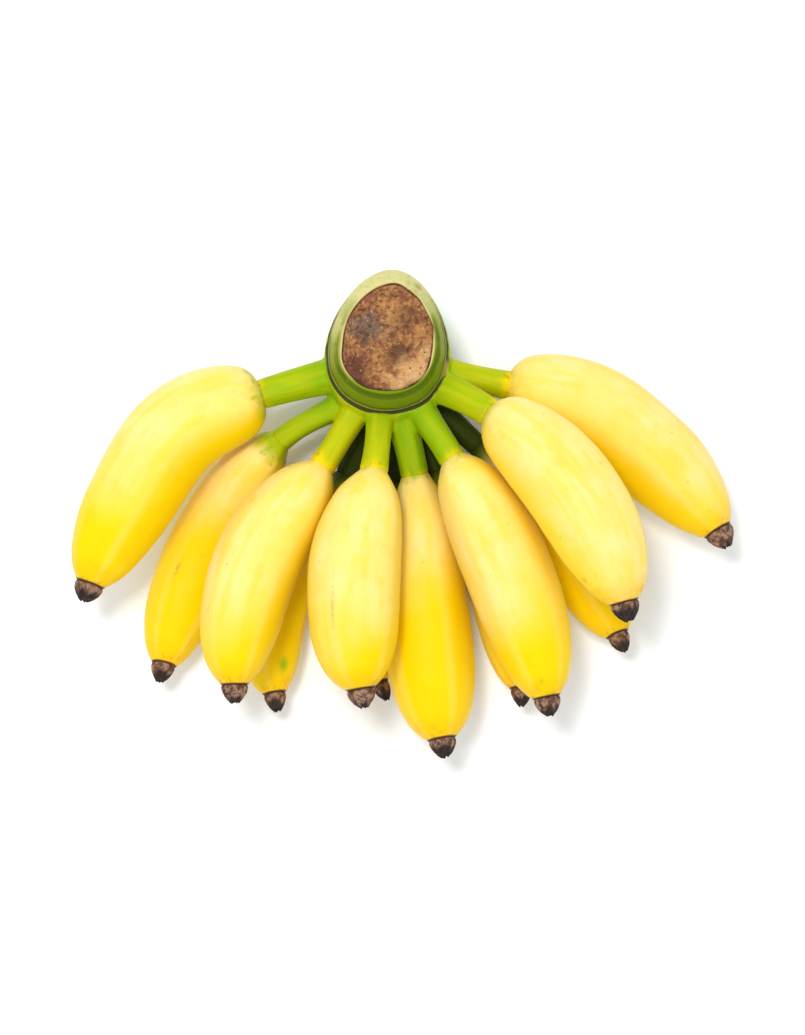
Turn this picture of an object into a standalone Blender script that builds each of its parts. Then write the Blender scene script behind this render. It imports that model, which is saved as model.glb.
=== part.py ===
"""A hand of twelve small, stout bananas lying on its lower fingers, with the cut stump of the crown
facing up. Metres, +Z up, the table at z = 0. The origin is under the crown, where it touches the table.
"""

import math

import bmesh
import bpy
from mathutils import Vector

MM = 0.001
FIT_GAP = 0.3 * MM

FINGER_SIDES = 20
TIP_SIDES = 10
CROWN_SIDES = 32

# Each finger's width, how far its widest place leans towards the neck (1 is the even form below), the
# radius of its stalk's waist, and the marks on its centreline, in millimetres: the root inside the
# crown, the neck, where the stalk ends, one or two places along the belly, and the end of the fruit,
# where the dried tip starts.
FINGERS = {
    "upper_finger_1": (
        39, 1.45, 6.5,
        (-14, -8, 40), (-50, -18, 46), (-80, -29.5, 44.5), (-104.5, -64, 43.5), (-118, -93.5, 47),
    ),
    "upper_finger_2": (
        33, 1.00, 4.2, (-8.5, -17, 40), (-43, -36, 34), (-72, -75, 15.8), (-91, -127, 23)
    ),
    "upper_finger_3": (
        36.5, 1.00, 4.8, (-7.5, -16, 40), (-26, -47, 48), (-49, -79, 49), (-60, -133, 54)
    ),
    "upper_finger_4": (38, 0.95, 4.6, (-1.5, -16.5, 40), (-5, -49, 58), (-12, -86, 60), (-10, -134, 64)),
    "upper_finger_5": (37.5, 0.90, 5.6, (3, -17, 43), (11, -50, 39), (14.5, -103, 32), (22, -156, 38)),
    "upper_finger_6": (36.5, 1.00, 5.2, (7.5, -15, 40), (26, -44, 53), (45, -80, 50), (63, -138, 54)),
    "upper_finger_7": (38, 1.15, 6.2, (11.5, -10, 40), (41, -26, 57), (72, -56, 65.5), (92, -100, 72)),
    "upper_finger_8": (
        39.5, 1.30, 4.8,
        (13.5, -7, 40), (48.5, -14, 38), (78.5, -21.5, 32.5), (110, -44, 30.5), (133, -72.5, 36),
    ),
    "lower_finger_1": (
        31, 1.00, 4.7, (-4.5, -17, 24), (-16.5, -50, 24), (-43, -89, 14), (-46, -139, 19.5)
    ),
    "lower_finger_2": (24.5, 1.00, 4.7, (0.5, -17.5, 24), (2, -52, 21), (-12, -93, 11), (-3, -135, 19)),
    "lower_finger_3": (
        29, 1.00, 4.7, (5.5, -16.5, 24), (20, -48, 21.5), (46, -94, 12.8), (54.5, -137, 19.5)
    ),
    "lower_finger_4": (30, 1.00, 4.7, (10.5, -13.5, 24), (37, -38, 24), (73, -77, 13.2), (94, -115, 21)),
}

# How the fruit's half width grows and shrinks from neck to tip: share of length, share of half width.
FULLNESS = (
    (0.0, 0.30), (0.025, 0.40), (0.06, 0.53), (0.11, 0.67), (0.19, 0.80), (0.30, 0.91),
    (0.43, 0.98), (0.57, 1.0), (0.70, 0.975), (0.80, 0.905), (0.88, 0.775), (0.94, 0.61),
    (0.98, 0.42), (1.0, 0.29),
)
RIDGES = 5
RIDGE_DEPTH = 0.05

# The dried tip, from the fruit outwards: share of length, share of the half width where it starts.
TIP_LENGTH = 7.4 * MM
TIP_FORM = ((0.0, 0.95), (0.3, 0.93), (0.62, 0.78), (0.88, 0.66), (1.0, 0.38))
TIP_RIDGE_DEPTH = 0.14

STALK_ROOT_RADIUS = 8.6 * MM
STALK_SIDES, STALK_RINGS = 12, 9
STALK_END_LENGTH = 1.5 * MM

# Egg-shaped sections of the crown from the table up: height, half width, front and back reach from
# x = 0 along -y and +y, all in millimetres.
CROWN_SECTIONS = (
    (0.0, 8.0, 10.0, 7.0),
    (3.0, 13.0, 15.0, 12.0),
    (11.0, 18.5, 21.0, 19.0),
    (24.0, 22.3, 25.5, 26.0),
    (36.0, 24.3, 29.0, 29.6),
    (42.0, 24.8, 30.5, 31.0),
    (47.0, 24.6, 29.5, 31.2),
    (51.0, 24.2, 27.0, 31.0),
    (52.5, 23.5, 25.6, 30.5),
    (54.0, 24.1, 26.2, 31.0),
    (57.0, 23.2, 25.0, 30.3),
    (60.5, 21.6, 22.5, 28.6),
    (63.2, 20.2, 20.4, 26.9),
    (64.5, 19.0, 19.0, 25.8),
)
# The dried face sits in a shallow recess inside the rim.
RECESS_RIM, RECESS_FLOOR_Z = 0.9 * MM, 60.5 * MM
EGG_POINT = 0.19
EGG_LEAN = 0.07

# The dried face from its edge inwards: share of its reach, rise in millimetres.
CUT_FACE_FORM = ((1.0, -0.4), (0.92, 0.1), (0.7, -0.8), (0.35, -1.5))
CUT_FACE_TOP_Z = 64.3 * MM

# Colour and roughness of each material.
FINISHES = {
    "green_stalk": ((0.25, 0.42, 0.06), 0.5),
    "yellow_peel": ((0.93, 0.71, 0.10), 0.45),
    "dried_cut": ((0.30, 0.17, 0.08), 0.9),
    "dried_tip": ((0.09, 0.06, 0.045), 0.85),
}


def finish_mesh(name, form):
    """A smooth-shaded object from a bmesh whose faces are closed."""
    bmesh.ops.recalc_face_normals(form, faces=form.faces)
    mesh = bpy.data.meshes.new(name)
    form.to_mesh(mesh)
    form.free()
    mesh.shade_smooth()
    return bpy.data.objects.new(name, mesh)


def loft(name, sections):
    """A closed solid through sections of equal point count, with a flat cap on each end."""
    form = bmesh.new()
    rings = [[form.verts.new(point) for point in section] for section in sections]
    for low, high in zip(rings, rings[1:]):
        for i in range(len(low)):
            after = (i + 1) % len(low)
            form.faces.new((low[i], low[after], high[after], high[i]))
    form.faces.new(reversed(rings[0]))
    form.faces.new(rings[-1])
    return finish_mesh(name, form)


class Centreline:
    """A smooth curve through the given points, with a straight start and an even bend at the end."""

    def __init__(self, points):
        self.points = [Vector(point) for point in points]
        chords = [b - a for a, b in zip(self.points, self.points[1:])]
        self.spans = [chord.length for chord in chords]
        slopes = [chord / span for chord, span in zip(chords, self.spans)]
        inner = [
            (a * after + b * before) / (before + after)
            for a, b, before, after in zip(slopes, slopes[1:], self.spans, self.spans[1:])
        ]
        self.tangents = [slopes[0], *inner, 2 * slopes[-1] - inner[-1]]
        self.end = len(self.spans)

    def at(self, place):
        """The point and direction at a place counted in control points."""
        i = min(int(place), len(self.spans) - 1)
        t, span = place - i, self.spans[i]
        a, b = self.points[i], self.points[i + 1]
        u, v = self.tangents[i] * span, self.tangents[i + 1] * span
        point = (
            a * (2 * t**3 - 3 * t**2 + 1)
            + u * (t**3 - 2 * t**2 + t)
            + b * (3 * t**2 - 2 * t**3)
            + v * (t**3 - t**2)
        )
        direction = (
            (a - b) * (6 * t**2 - 6 * t)
            + u * (3 * t**2 - 4 * t + 1)
            + v * (3 * t**2 - 2 * t)
        )
        return point, direction.normalized()


def ring(centre, direction, radius, sides, ridge_depth=0.0):
    """Points round a centreline, on a circle that flat sides between ridges cut into."""
    across = direction.cross(Vector((0, 0, 1))).normalized()
    up = across.cross(direction)
    points = []
    for i in range(sides):
        turn = math.tau * i / sides
        dip = ridge_depth * abs(math.sin(RIDGES * turn / 2))
        reach = radius * (1 - dip)
        points.append(centre + reach * (math.sin(turn) * across + math.cos(turn) * up))
    return points


def make_fruit(name, width, lean, line):
    """One finger's fruit: round at both ends, with five soft ridges between them. Where it lies on
    the table its underside is pressed flat."""
    sections = []
    for even_share, fullness in FULLNESS:
        share = even_share**lean
        centre, direction = line.at(1 + (line.end - 1) * share)
        ridge = RIDGE_DEPTH * math.sin(math.pi * share) ** 0.5
        section = ring(centre, direction, fullness * width / 2, FINGER_SIDES, ridge)
        for point in section:
            point.z = max(point.z, 0.0)
        sections.append(section)
    return loft(name, sections)


def make_tip(name, width, line):
    """The shrivelled flower end, standing off the fruit's end by the fit gap."""
    end, direction = line.at(line.end)
    base_radius = FULLNESS[-1][1] * width / 2
    sections = [
        ring(
            end + direction * (FIT_GAP + share * TIP_LENGTH),
            direction,
            base_radius * size,
            TIP_SIDES,
            TIP_RIDGE_DEPTH * share,
        )
        for share, size in TIP_FORM
    ]
    return loft(name, sections)


def make_stalk(name, width, waist, line):
    """A stalk, wide at the crown and at the fruit, as a mesh that the crown is joined from."""
    neck_radius = FULLNESS[0][1] * width / 2
    end, direction = line.at(1)
    end -= direction * FIT_GAP
    curve = bpy.data.curves.new(name, "CURVE")
    curve.dimensions = "3D"
    curve.bevel_depth = 1.0
    curve.bevel_resolution = STALK_SIDES // 4 - 1
    curve.use_fill_caps = True
    spline = curve.splines.new("POLY")
    spline.points.add(STALK_RINGS - 1)
    last_place = 1 - STALK_END_LENGTH / line.spans[0]
    for i, point in enumerate(spline.points[:-1]):
        place = last_place * i / (STALK_RINGS - 2)
        swell = STALK_ROOT_RADIUS * (1 - place) ** 3 + neck_radius * place**3
        point.co = (*line.at(place)[0], 1)
        point.radius = waist * 3 * place * (1 - place) + swell
    spline.points[-2].co = (*(end - direction * STALK_END_LENGTH), 1)
    spline.points[-1].co = (*end, 1)
    spline.points[-1].radius = neck_radius
    guide = bpy.data.objects.new(name, curve)
    bpy.context.scene.collection.objects.link(guide)
    bpy.context.view_layer.update()
    graph = bpy.context.evaluated_depsgraph_get()
    mesh = bpy.data.meshes.new_from_object(guide.evaluated_get(graph))
    form = bmesh.new()
    form.from_mesh(mesh)
    bmesh.ops.remove_doubles(form, verts=form.verts, dist=0.01 * MM)
    bpy.data.objects.remove(guide)
    return finish_mesh(name, form)


def egg(height, half_width, front, back, sides):
    """One level outline of the crown, narrower at the back, where it also leans a little to +x."""
    middle, half_depth = (back - front) / 2, (back + front) / 2
    points = []
    for i in range(sides):
        turn = math.tau * i / sides
        along = math.sin(turn)
        across = half_width * math.cos(turn) * (1 - EGG_POINT * along)
        across += EGG_LEAN * half_depth * ((1 + along) / 2) ** 3
        points.append(Vector((across, middle + half_depth * along, height)))
    return points


def make_crown_body():
    """The cushion and stump, from the flat foot up to the rim and into the recess of the cut face."""
    sections = [
        egg(*(size * MM for size in section), CROWN_SIDES) for section in CROWN_SECTIONS
    ]
    rim_z, half_width, front, back = (size * MM for size in CROWN_SECTIONS[-1])
    inner = half_width - RECESS_RIM, front - RECESS_RIM, back - RECESS_RIM
    sections.append(egg(rim_z, *inner, CROWN_SIDES))
    sections.append(egg(RECESS_FLOOR_Z, *inner, CROWN_SIDES))
    return loft("crown", sections)


def make_cut_face():
    """The dried face of the cut: a thin plug with a sunken middle."""
    inset = RECESS_RIM + FIT_GAP
    half_width, front, back = (size * MM - inset for size in CROWN_SECTIONS[-1][1:])
    sections = [egg(RECESS_FLOOR_Z + FIT_GAP, half_width, front, back, CROWN_SIDES)]
    for share, rise in CUT_FACE_FORM:
        size = half_width * share, front * share, back * share
        sections.append(egg(CUT_FACE_TOP_Z + rise * MM, *size, CROWN_SIDES))
    return loft("cut_face", sections)


def material(name, colour, roughness):
    """A plain Principled material."""
    made = bpy.data.materials.new(name)
    made.use_nodes = True
    shader = made.node_tree.nodes["Principled BSDF"]
    shader.inputs["Base Color"].default_value = (*colour, 1.0)
    shader.inputs["Roughness"].default_value = roughness
    shader.inputs["Metallic"].default_value = 0.0
    return made


def join_stalks(crown, stalks, helpers):
    """Joins the stalks to the crown by one Boolean union."""
    bunch = bpy.data.collections.new("stalks_to_join")
    helpers.children.link(bunch)
    for stalk in stalks:
        bunch.objects.link(stalk)
        stalk.hide_render = True
        stalk.display_type = "WIRE"
    union = crown.modifiers.new("join_stalks", "BOOLEAN")
    union.operation = "UNION"
    union.operand_type = "COLLECTION"
    union.collection = bunch
    union.solver = "EXACT"
    union.use_self = True


def build():
    for old in list(bpy.data.objects):
        bpy.data.objects.remove(old)
    hand = bpy.data.collections.new("banana_hand")
    helpers = bpy.data.collections.new("cutters")
    for collection in (hand, helpers):
        bpy.context.scene.collection.children.link(collection)
    helpers.hide_render = True

    finishes = {name: material(name, *finish) for name, finish in FINISHES.items()}
    pieces = []
    stalks = []
    for name, (width, lean, waist, *marks) in FINGERS.items():
        line = Centreline([Vector(mark) * MM for mark in marks])
        fruit = make_fruit(name, width * MM, lean, line)
        tip = make_tip(name.replace("finger", "tip"), width * MM, line)
        stalks.append(make_stalk(name.replace("finger", "stalk"), width * MM, waist * MM, line))
        pieces += [(fruit, "yellow_peel"), (tip, "dried_tip")]
    crown = make_crown_body()
    pieces += [(crown, "green_stalk"), (make_cut_face(), "dried_cut")]
    for piece, finish in pieces:
        hand.objects.link(piece)
        piece.data.materials.append(finishes[finish])
    join_stalks(crown, stalks, helpers)


build()
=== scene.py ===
"""A hand of twelve small, stout bananas lying on a pale table, seen from straight above."""

import math
from collections import namedtuple

import bmesh
import bpy
import numpy as np
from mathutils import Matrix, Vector, kdtree, noise


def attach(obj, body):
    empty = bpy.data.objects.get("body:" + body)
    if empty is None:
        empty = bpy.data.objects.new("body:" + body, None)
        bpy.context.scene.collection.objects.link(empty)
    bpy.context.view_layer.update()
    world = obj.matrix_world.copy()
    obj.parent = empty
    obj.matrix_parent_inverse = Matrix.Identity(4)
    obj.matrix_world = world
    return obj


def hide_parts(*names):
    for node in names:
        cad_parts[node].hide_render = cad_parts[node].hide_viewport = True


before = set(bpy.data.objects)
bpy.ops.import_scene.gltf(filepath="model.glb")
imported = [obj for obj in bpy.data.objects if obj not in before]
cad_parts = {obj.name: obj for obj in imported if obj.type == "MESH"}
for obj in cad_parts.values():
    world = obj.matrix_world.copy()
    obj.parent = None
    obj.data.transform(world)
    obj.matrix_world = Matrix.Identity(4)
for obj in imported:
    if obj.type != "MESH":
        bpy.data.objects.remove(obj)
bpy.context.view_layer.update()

# The table is a plain white sheet. One soft lamp hangs high at the upper left of the picture, the pale
# room lights the rest, and the camera looks straight down from a metre above.

MM = 0.001
CAMERA_PLACE = (6.2 * MM, -67 * MM, 1017.5 * MM)
CAMERA_LENS, CAMERA_SENSOR = 85, 36
ROOM_LIGHT = 0.94
ROOM_COLOUR = (0.91, 0.96, 1.0, 1.0)
LAMP_PLACE, LAMP_AIM = (-0.16, 0.16, 1.15), (0.0, -0.065, 0.03)
LAMP_WIDTH, LAMP_POWER = 0.22, 8.0
LAMP_COLOUR = (1.0, 0.96, 0.90)
TABLE_HALF = 3.0
TABLE_WHITE = (0.94, 0.96, 1.0, 1.0)


def new_object(name, data):
    """An object that stands in the scene."""
    made = bpy.data.objects.new(name, data)
    bpy.context.scene.collection.objects.link(made)
    return made


def set_inputs(tree, node, inputs):
    """Gives each of these inputs of a node a value, or another node's output."""
    for socket, value in inputs.items():
        if isinstance(value, bpy.types.NodeSocket):
            tree.links.new(value, node.inputs[socket])
        else:
            node.inputs[socket].default_value = value


scene = bpy.context.scene
scene.view_settings.view_transform = "Standard"
camera_data = bpy.data.cameras.new("camera")
camera_data.lens = CAMERA_LENS
camera_data.sensor_width = CAMERA_SENSOR
camera = new_object("camera", camera_data)
camera.location = CAMERA_PLACE
scene.camera = camera

world = bpy.data.worlds.new("pale_room")
world.use_nodes = True
background = world.node_tree.nodes["Background"]
set_inputs(world.node_tree, background, {"Color": ROOM_COLOUR, "Strength": ROOM_LIGHT})
scene.world = world

lamp_data = bpy.data.lights.new("window_lamp", "AREA")
lamp_data.size = LAMP_WIDTH
lamp_data.energy = LAMP_POWER
lamp_data.color = LAMP_COLOUR
lamp = new_object("window_lamp", lamp_data)
lamp.location = LAMP_PLACE
lamp.rotation_euler = (Vector(LAMP_AIM) - Vector(LAMP_PLACE)).to_track_quat("-Z", "Y").to_euler()

table_mesh = bpy.data.meshes.new("table")
corners = [(x * TABLE_HALF, y * TABLE_HALF, 0) for x, y in ((-1, -1), (1, -1), (1, 1), (-1, 1))]
table_mesh.from_pydata(corners, [], [(0, 1, 2, 3)])
table = new_object("table", table_mesh)


def new_material(name):
    """A material, its node tree and its Principled shader."""
    made = bpy.data.materials.new(name)
    made.use_nodes = True
    return made, made.node_tree, made.node_tree.nodes["Principled BSDF"]


white_sheet, tree, shader = new_material("white_sheet")
set_inputs(tree, shader, {"Base Color": TABLE_WHITE, "Roughness": 0.9})
table_mesh.materials.append(white_sheet)


# The twelve fruits are the swollen berries of the hand. Each is one skin of yellow peel over the
# flesh, round at both ends, with five soft ridges that run from the stalk to the dried tip.

# For each finger: its width, how far the widest place leans to the neck, the radius of the stalk's
# waist, the turn of the first ridge from straight up in degrees, how far past the neck the green of the
# stalk reaches, the share of the fruit that is pale yellow (its own paler tone with a painted highlight
# on it), the turn of the side where that painted highlight is strongest, toward the lamp, and the marks
# on its centreline: the root in the crown, the neck, one or two places along the belly, and the end of
# the fruit. Lengths are in millimetres.
Finger = namedtuple("Finger", "width lean waist first_ridge green_end pale_share palest_turn marks")
FINGERS = {
    "upper_finger_1": Finger(
        39, 1.45, 6.5, 52, 0, 0.52, 55,
        ((-14, -8, 40), (-50, -18, 46), (-80, -29.5, 44.5), (-104.5, -64, 43.5), (-118, -93.5, 47)),
    ),
    "upper_finger_2": Finger(
        33, 1.00, 4.2, 30, 5, 0.28, 40,
        ((-8.5, -17, 40), (-43, -36, 34), (-72, -75, 15.8), (-91, -127, 23)),
    ),
    "upper_finger_3": Finger(
        36.5, 1.00, 4.8, -34, -3, 0.70, 42,
        ((-7.5, -16, 40), (-26, -47, 48), (-49, -79, 49), (-60, -133, 54)),
    ),
    "upper_finger_4": Finger(
        38, 0.95, 4.6, 26, -1, 0.68, 12,
        ((-1.5, -16.5, 40), (-5, -49, 58), (-12, -86, 60), (-10, -134, 64)),
    ),
    "upper_finger_5": Finger(
        37.5, 0.90, 5.6, -28, 0, 0.28, 4,
        ((3, -17, 43), (11, -50, 39), (14.5, -103, 32), (22, -156, 38)),
    ),
    "upper_finger_6": Finger(
        36.5, 1.00, 5.2, 33, 0, 0.64, 34,
        ((7.5, -15, 40), (26, -44, 53), (45, -80, 50), (63, -138, 54)),
    ),
    "upper_finger_7": Finger(
        38, 1.15, 6.2, 8, 0, 0.96, -22,
        ((11.5, -10, 40), (41, -26, 57), (72, -56, 65.5), (92, -100, 72)),
    ),
    "upper_finger_8": Finger(
        39.5, 1.30, 4.8, 20, -2, 0.92, -60,
        ((13.5, -7, 40), (48.5, -14, 38), (78.5, -21.5, 32.5), (110, -44, 30.5), (133, -72.5, 36)),
    ),
    "lower_finger_1": Finger(
        31, 1.00, 4.7, 10, 3, 0.2, 0,
        ((-4.5, -17, 24), (-16.5, -50, 24), (-43, -89, 14), (-46, -139, 19.5)),
    ),
    "lower_finger_2": Finger(
        24.5, 1.00, 4.7, 30, 3, 0.2, 0,
        ((0.5, -17.5, 24), (2, -52, 21), (-12, -93, 11), (-3, -135, 19)),
    ),
    "lower_finger_3": Finger(
        29, 1.00, 4.7, -15, 3, 0.2, 0,
        ((5.5, -16.5, 24), (20, -48, 21.5), (46, -94, 12.8), (54.5, -137, 19.5)),
    ),
    "lower_finger_4": Finger(
        30, 1.00, 4.7, 18, 3, 0.2, 0,
        ((10.5, -13.5, 24), (37, -38, 24), (73, -77, 13.2), (94, -115, 21)),
    ),
}
# How full a fruit is along its length, from the neck at 0 to the dried tip at 1.
FULLNESS = (
    (0.0, 0.30), (0.025, 0.40), (0.06, 0.53), (0.11, 0.67), (0.19, 0.80), (0.30, 0.91),
    (0.43, 0.98), (0.57, 1.0), (0.70, 0.975), (0.80, 0.905), (0.88, 0.775), (0.94, 0.61),
    (0.98, 0.42), (1.0, 0.29),
)
RIDGES, RIDGE_ROUNDING = 5, 0.22
RIDGE_DEPTH, STALK_RIDGE_DEPTH = 0.05, 0.06
STALK_FORM_ENDS = 14 * MM
FRUIT_RINGS, FRUIT_SIDES = 150, 96
SUNK_START = 1.2 * MM
LUMP_SIZE, LUMP_HEIGHT = 26 * MM, 0.55 * MM
DENT_SIZE, DENT_HEIGHT = 7 * MM, 0.09 * MM
SMOOTH_END = 12 * MM
PRESSED_FLAT = 0.3 * MM
PALE_BLUR = 0.36
SHADE_ENDS = 16 * MM
# The materials see the fingers this far apart in metres, so that no two have the same pattern.
PATTERN_STEP = 0.4
FAR_AWAY = 0.1


class Centreline:
    """The smooth curve down the middle of a stalk and its fruit. Place 0 is the root in the crown, 1 is
    the neck, the last is the end of the fruit, and the belly marks are between."""

    def __init__(self, points):
        self.points = np.array(points)
        chords = np.diff(self.points, axis=0)
        self.spans = np.linalg.norm(chords, axis=1)
        slopes = chords / self.spans[:, None]
        before, after = self.spans[:-1, None], self.spans[1:, None]
        inner = (slopes[:-1] * after + slopes[1:] * before) / (before + after)
        self.tangents = np.vstack((slopes[:1], inner, 2 * slopes[-1:] - inner[-1:]))
        self.end = len(self.spans)

    def at(self, places):
        """The points at these places, with the directions along, across and up there."""
        places = np.asarray(places, float)
        i = np.clip(places.astype(int), 0, len(self.spans) - 1)
        t = (places - i)[:, None]
        span = self.spans[i][:, None]
        a, b = self.points[i], self.points[i + 1]
        u, v = self.tangents[i] * span, self.tangents[i + 1] * span
        point = (
            a * (2 * t**3 - 3 * t**2 + 1) + u * (t**3 - 2 * t**2 + t)
            + b * (3 * t**2 - 2 * t**3) + v * (t**3 - t**2)
        )
        along = (a - b) * (6 * t**2 - 6 * t) + u * (3 * t**2 - 4 * t + 1) + v * (3 * t**2 - 2 * t)
        along /= np.linalg.norm(along, axis=1)[:, None]
        across = np.cross(along, (0.0, 0.0, 1.0))
        across /= np.linalg.norm(across, axis=1)[:, None]
        return point, along, across, np.cross(across, along)

    def lengths(self, places):
        """How far each place lies past the neck, measured along the curve."""
        steps = np.linspace(0, self.end, 601)
        points = self.at(steps)[0]
        run = np.concatenate(([0], np.cumsum(np.linalg.norm(np.diff(points, axis=0), axis=1))))
        run -= np.interp(1.0, steps, run)
        return np.interp(places, steps, run)


def centreline_of(finger):
    return Centreline(np.array(finger.marks) * MM)


def full_turn(sides):
    """The turn of each side of a ring, in radians from straight up."""
    return np.arange(sides) * math.tau / sides


def outward_from(across, up, turns):
    """The way out from the centreline, for each ring and each turn."""
    return np.sin(turns)[None, :, None] * across[:, None, :] + np.cos(turns)[None, :, None] * up[:, None, :]


def smooth_through(table, x):
    """A smooth curve through the points of a table."""
    xs, ys = (np.array(column, float) for column in zip(*table))
    slopes = np.gradient(ys, xs)
    i = np.clip(np.searchsorted(xs, x, side="right") - 1, 0, len(xs) - 2)
    gap = xs[i + 1] - xs[i]
    t = (x - xs[i]) / gap
    return (
        ys[i] * (2 * t**3 - 3 * t**2 + 1) + slopes[i] * gap * (t**3 - 2 * t**2 + t)
        + ys[i + 1] * (3 * t**2 - 2 * t**3) + slopes[i + 1] * gap * (t**3 - t**2)
    )


def ridge_dip(turns, first_ridge):
    """0 on the crest of each ridge and 1 midway between two, rounded over the crest."""
    wave = np.sin(RIDGES * (turns - math.radians(first_ridge)) / 2)
    top = math.sqrt(1 + RIDGE_ROUNDING**2)
    return (np.sqrt(wave**2 + RIDGE_ROUNDING**2) - RIDGE_ROUNDING) / (top - RIDGE_ROUNDING)


def noise_over(points, size, number):
    """Smooth noise from about -1 to 1 at each point, with features of this size. Each number gives
    another pattern."""
    shift = Vector((number * 7.3, number * 3.1, number * 5.7))
    return np.array([noise.noise(Vector(point) / size + shift) for point in points.reshape(-1, 3)])


def skin_from_rings(name, rings):
    """A closed skin over rings of points, with a fan over each end."""
    count, sides = rings.shape[:2]
    ends = rings[[0, -1]].mean(axis=1)
    points = np.vstack((rings.reshape(-1, 3), ends))
    faces = []
    for ring in range(count - 1):
        low = ring * sides
        for i in range(sides):
            after = (i + 1) % sides
            faces.append((low + i, low + after, low + sides + after, low + sides + i))
    last = (count - 1) * sides
    for i in range(sides):
        after = (i + 1) % sides
        faces.append((after, i, count * sides))
        faces.append((last + i, last + after, count * sides + 1))
    mesh = bpy.data.meshes.new(name)
    mesh.from_pydata(points.tolist(), [], faces)
    mesh.shade_smooth()
    form = bmesh.new()
    form.from_mesh(mesh)
    bmesh.ops.recalc_face_normals(form, faces=form.faces)
    form.to_mesh(mesh)
    form.free()
    return new_object(name, mesh)


def note(mesh, name, values):
    """Keeps a number or a vector for each point of a mesh, for the material to read."""
    values = np.asarray(values, np.float32)
    if values.ndim == 2:
        mesh.attributes.new(name, "FLOAT_VECTOR", "POINT").data.foreach_set("vector", values.ravel())
    else:
        mesh.attributes.new(name, "FLOAT", "POINT").data.foreach_set("value", values)


def note_rings(mesh, name, values, ends=(0, 0)):
    """Keeps a value for each point of each ring, and one for the middle of each end."""
    note(mesh, name, np.concatenate((values.reshape(-1, *values.shape[2:]), ends)))


def add(tree, kind, inputs=None, **settings):
    """Places a shader node."""
    made = tree.nodes.new("ShaderNode" + kind)
    for setting, value in settings.items():
        setattr(made, setting, value)
    set_inputs(tree, made, inputs or {})
    return made


def figure(tree, operation, a, b=0.0):
    """One sum on values."""
    return add(tree, "Math", {0: a, 1: b}, operation=operation).outputs[0]


def times(tree, a, b):
    """One value times another."""
    return figure(tree, "MULTIPLY", a, b)


def spread(tree, value, start, end, low=0.0, high=1.0):
    """Eases a value from low at start to high at end."""
    made = add(
        tree, "MapRange",
        {"Value": value, "From Min": start, "From Max": end, "To Min": low, "To Max": high},
        interpolation_type="SMOOTHSTEP",
    )
    return made.outputs["Result"]


def between(tree, mask, low, high):
    """A value that goes from low to high as a mask goes from 0 to 1."""
    return spread(tree, mask, 0.0, 1.0, low, high)


def over(tree, mask, below, above, cover=1.0):
    """One colour laid over another where the mask is 1, and covering it this much."""
    if cover < 1:
        mask = times(tree, mask, cover)
    return add(tree, "Mix", {0: mask, 6: below, 7: above}, data_type="RGBA").outputs[2]


def relief(tree, height, strength, distance):
    """The fine relief of a surface."""
    bump = add(tree, "Bump", {"Height": height, "Strength": strength, "Distance": distance})
    return bump.outputs["Normal"]


def shader_group(name, inputs, outputs):
    """A shader node group with these sockets."""
    group = bpy.data.node_groups.new(name, "ShaderNodeTree")
    for socket, value in inputs.items():
        kind = "NodeSocketVector" if value is None else "NodeSocketFloat"
        made = group.interface.new_socket(socket, in_out="INPUT", socket_type=kind)
        if value is not None:
            made.default_value = value
    for socket in outputs:
        group.interface.new_socket(socket, in_out="OUTPUT", socket_type="NodeSocketFloat")
    return group, group.nodes.new("NodeGroupInput").outputs, group.nodes.new("NodeGroupOutput").inputs


def lay(tree, group, **inputs):
    """Places a group in a material, and gives back its outputs."""
    made = tree.nodes.new("ShaderNodeGroup")
    made.node_tree = group
    set_inputs(tree, made, {name.replace("_", " ").title(): value for name, value in inputs.items()})
    return made.outputs


def read(tree, name, kind="Fac"):
    """What the mesh keeps under this name."""
    return add(tree, "Attribute", attribute_name=name).outputs[kind]


# Soft patches of a second tone, as in peel and cork.
cloudy_patches, given, gives = shader_group(
    "cloudy_patches", {"Vector": None, "Size": 0.02, "Start": 0.4, "End": 0.6, "Detail": 3.0}, ["Mask"]
)
tree = cloudy_patches
scale = figure(tree, "DIVIDE", 1.0, given["Size"])
clouds = add(
    tree, "TexNoise",
    {"Vector": given["Vector"], "Scale": scale, "Detail": given["Detail"], "Roughness": 0.55},
)
tree.links.new(spread(tree, clouds.outputs["Fac"], given["Start"], given["End"]), gives["Mask"])

# Fine streaks that follow the fibres along a finger or a stalk.
fibre_streaks, given, gives = shader_group(
    "fibre_streaks", {"Vector": None, "Width": 0.001, "Length": 0.02, "Start": 0.4, "End": 0.6}, ["Mask"]
)
tree = fibre_streaks
thin = figure(tree, "DIVIDE", 1.0, given["Width"])
long = figure(tree, "DIVIDE", 1.0, given["Length"])
stretch = add(tree, "CombineXYZ", {"X": thin, "Y": thin, "Z": long})
stretched = add(tree, "VectorMath", {0: given["Vector"], 1: stretch.outputs[0]}, operation="MULTIPLY")
streaks = add(tree, "TexNoise", {"Vector": stretched.outputs[0], "Scale": 1.0, "Detail": 2.5})
tree.links.new(spread(tree, streaks.outputs["Fac"], given["Start"], given["End"]), gives["Mask"])

# Scattered small dots of uneven size.
small_specks, given, gives = shader_group(
    "small_specks", {"Vector": None, "Spacing": 0.003, "Size": 0.2, "Share": 0.3}, ["Mask"]
)
tree = small_specks
scale = figure(tree, "DIVIDE", 1.0, given["Spacing"])
cells = add(tree, "TexVoronoi", {"Vector": given["Vector"], "Scale": scale, "Randomness": 1.0})
pick = add(tree, "SeparateColor", {"Color": cells.outputs["Color"]})
reach = times(tree, given["Size"], figure(tree, "ADD", pick.outputs["Green"], 0.4))
inner = times(tree, reach, 0.4)
dot = spread(tree, cells.outputs["Distance"], reach, inner)
chosen = figure(tree, "LESS_THAN", pick.outputs["Red"], given["Share"])
tree.links.new(times(tree, dot, chosen), gives["Mask"])

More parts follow.
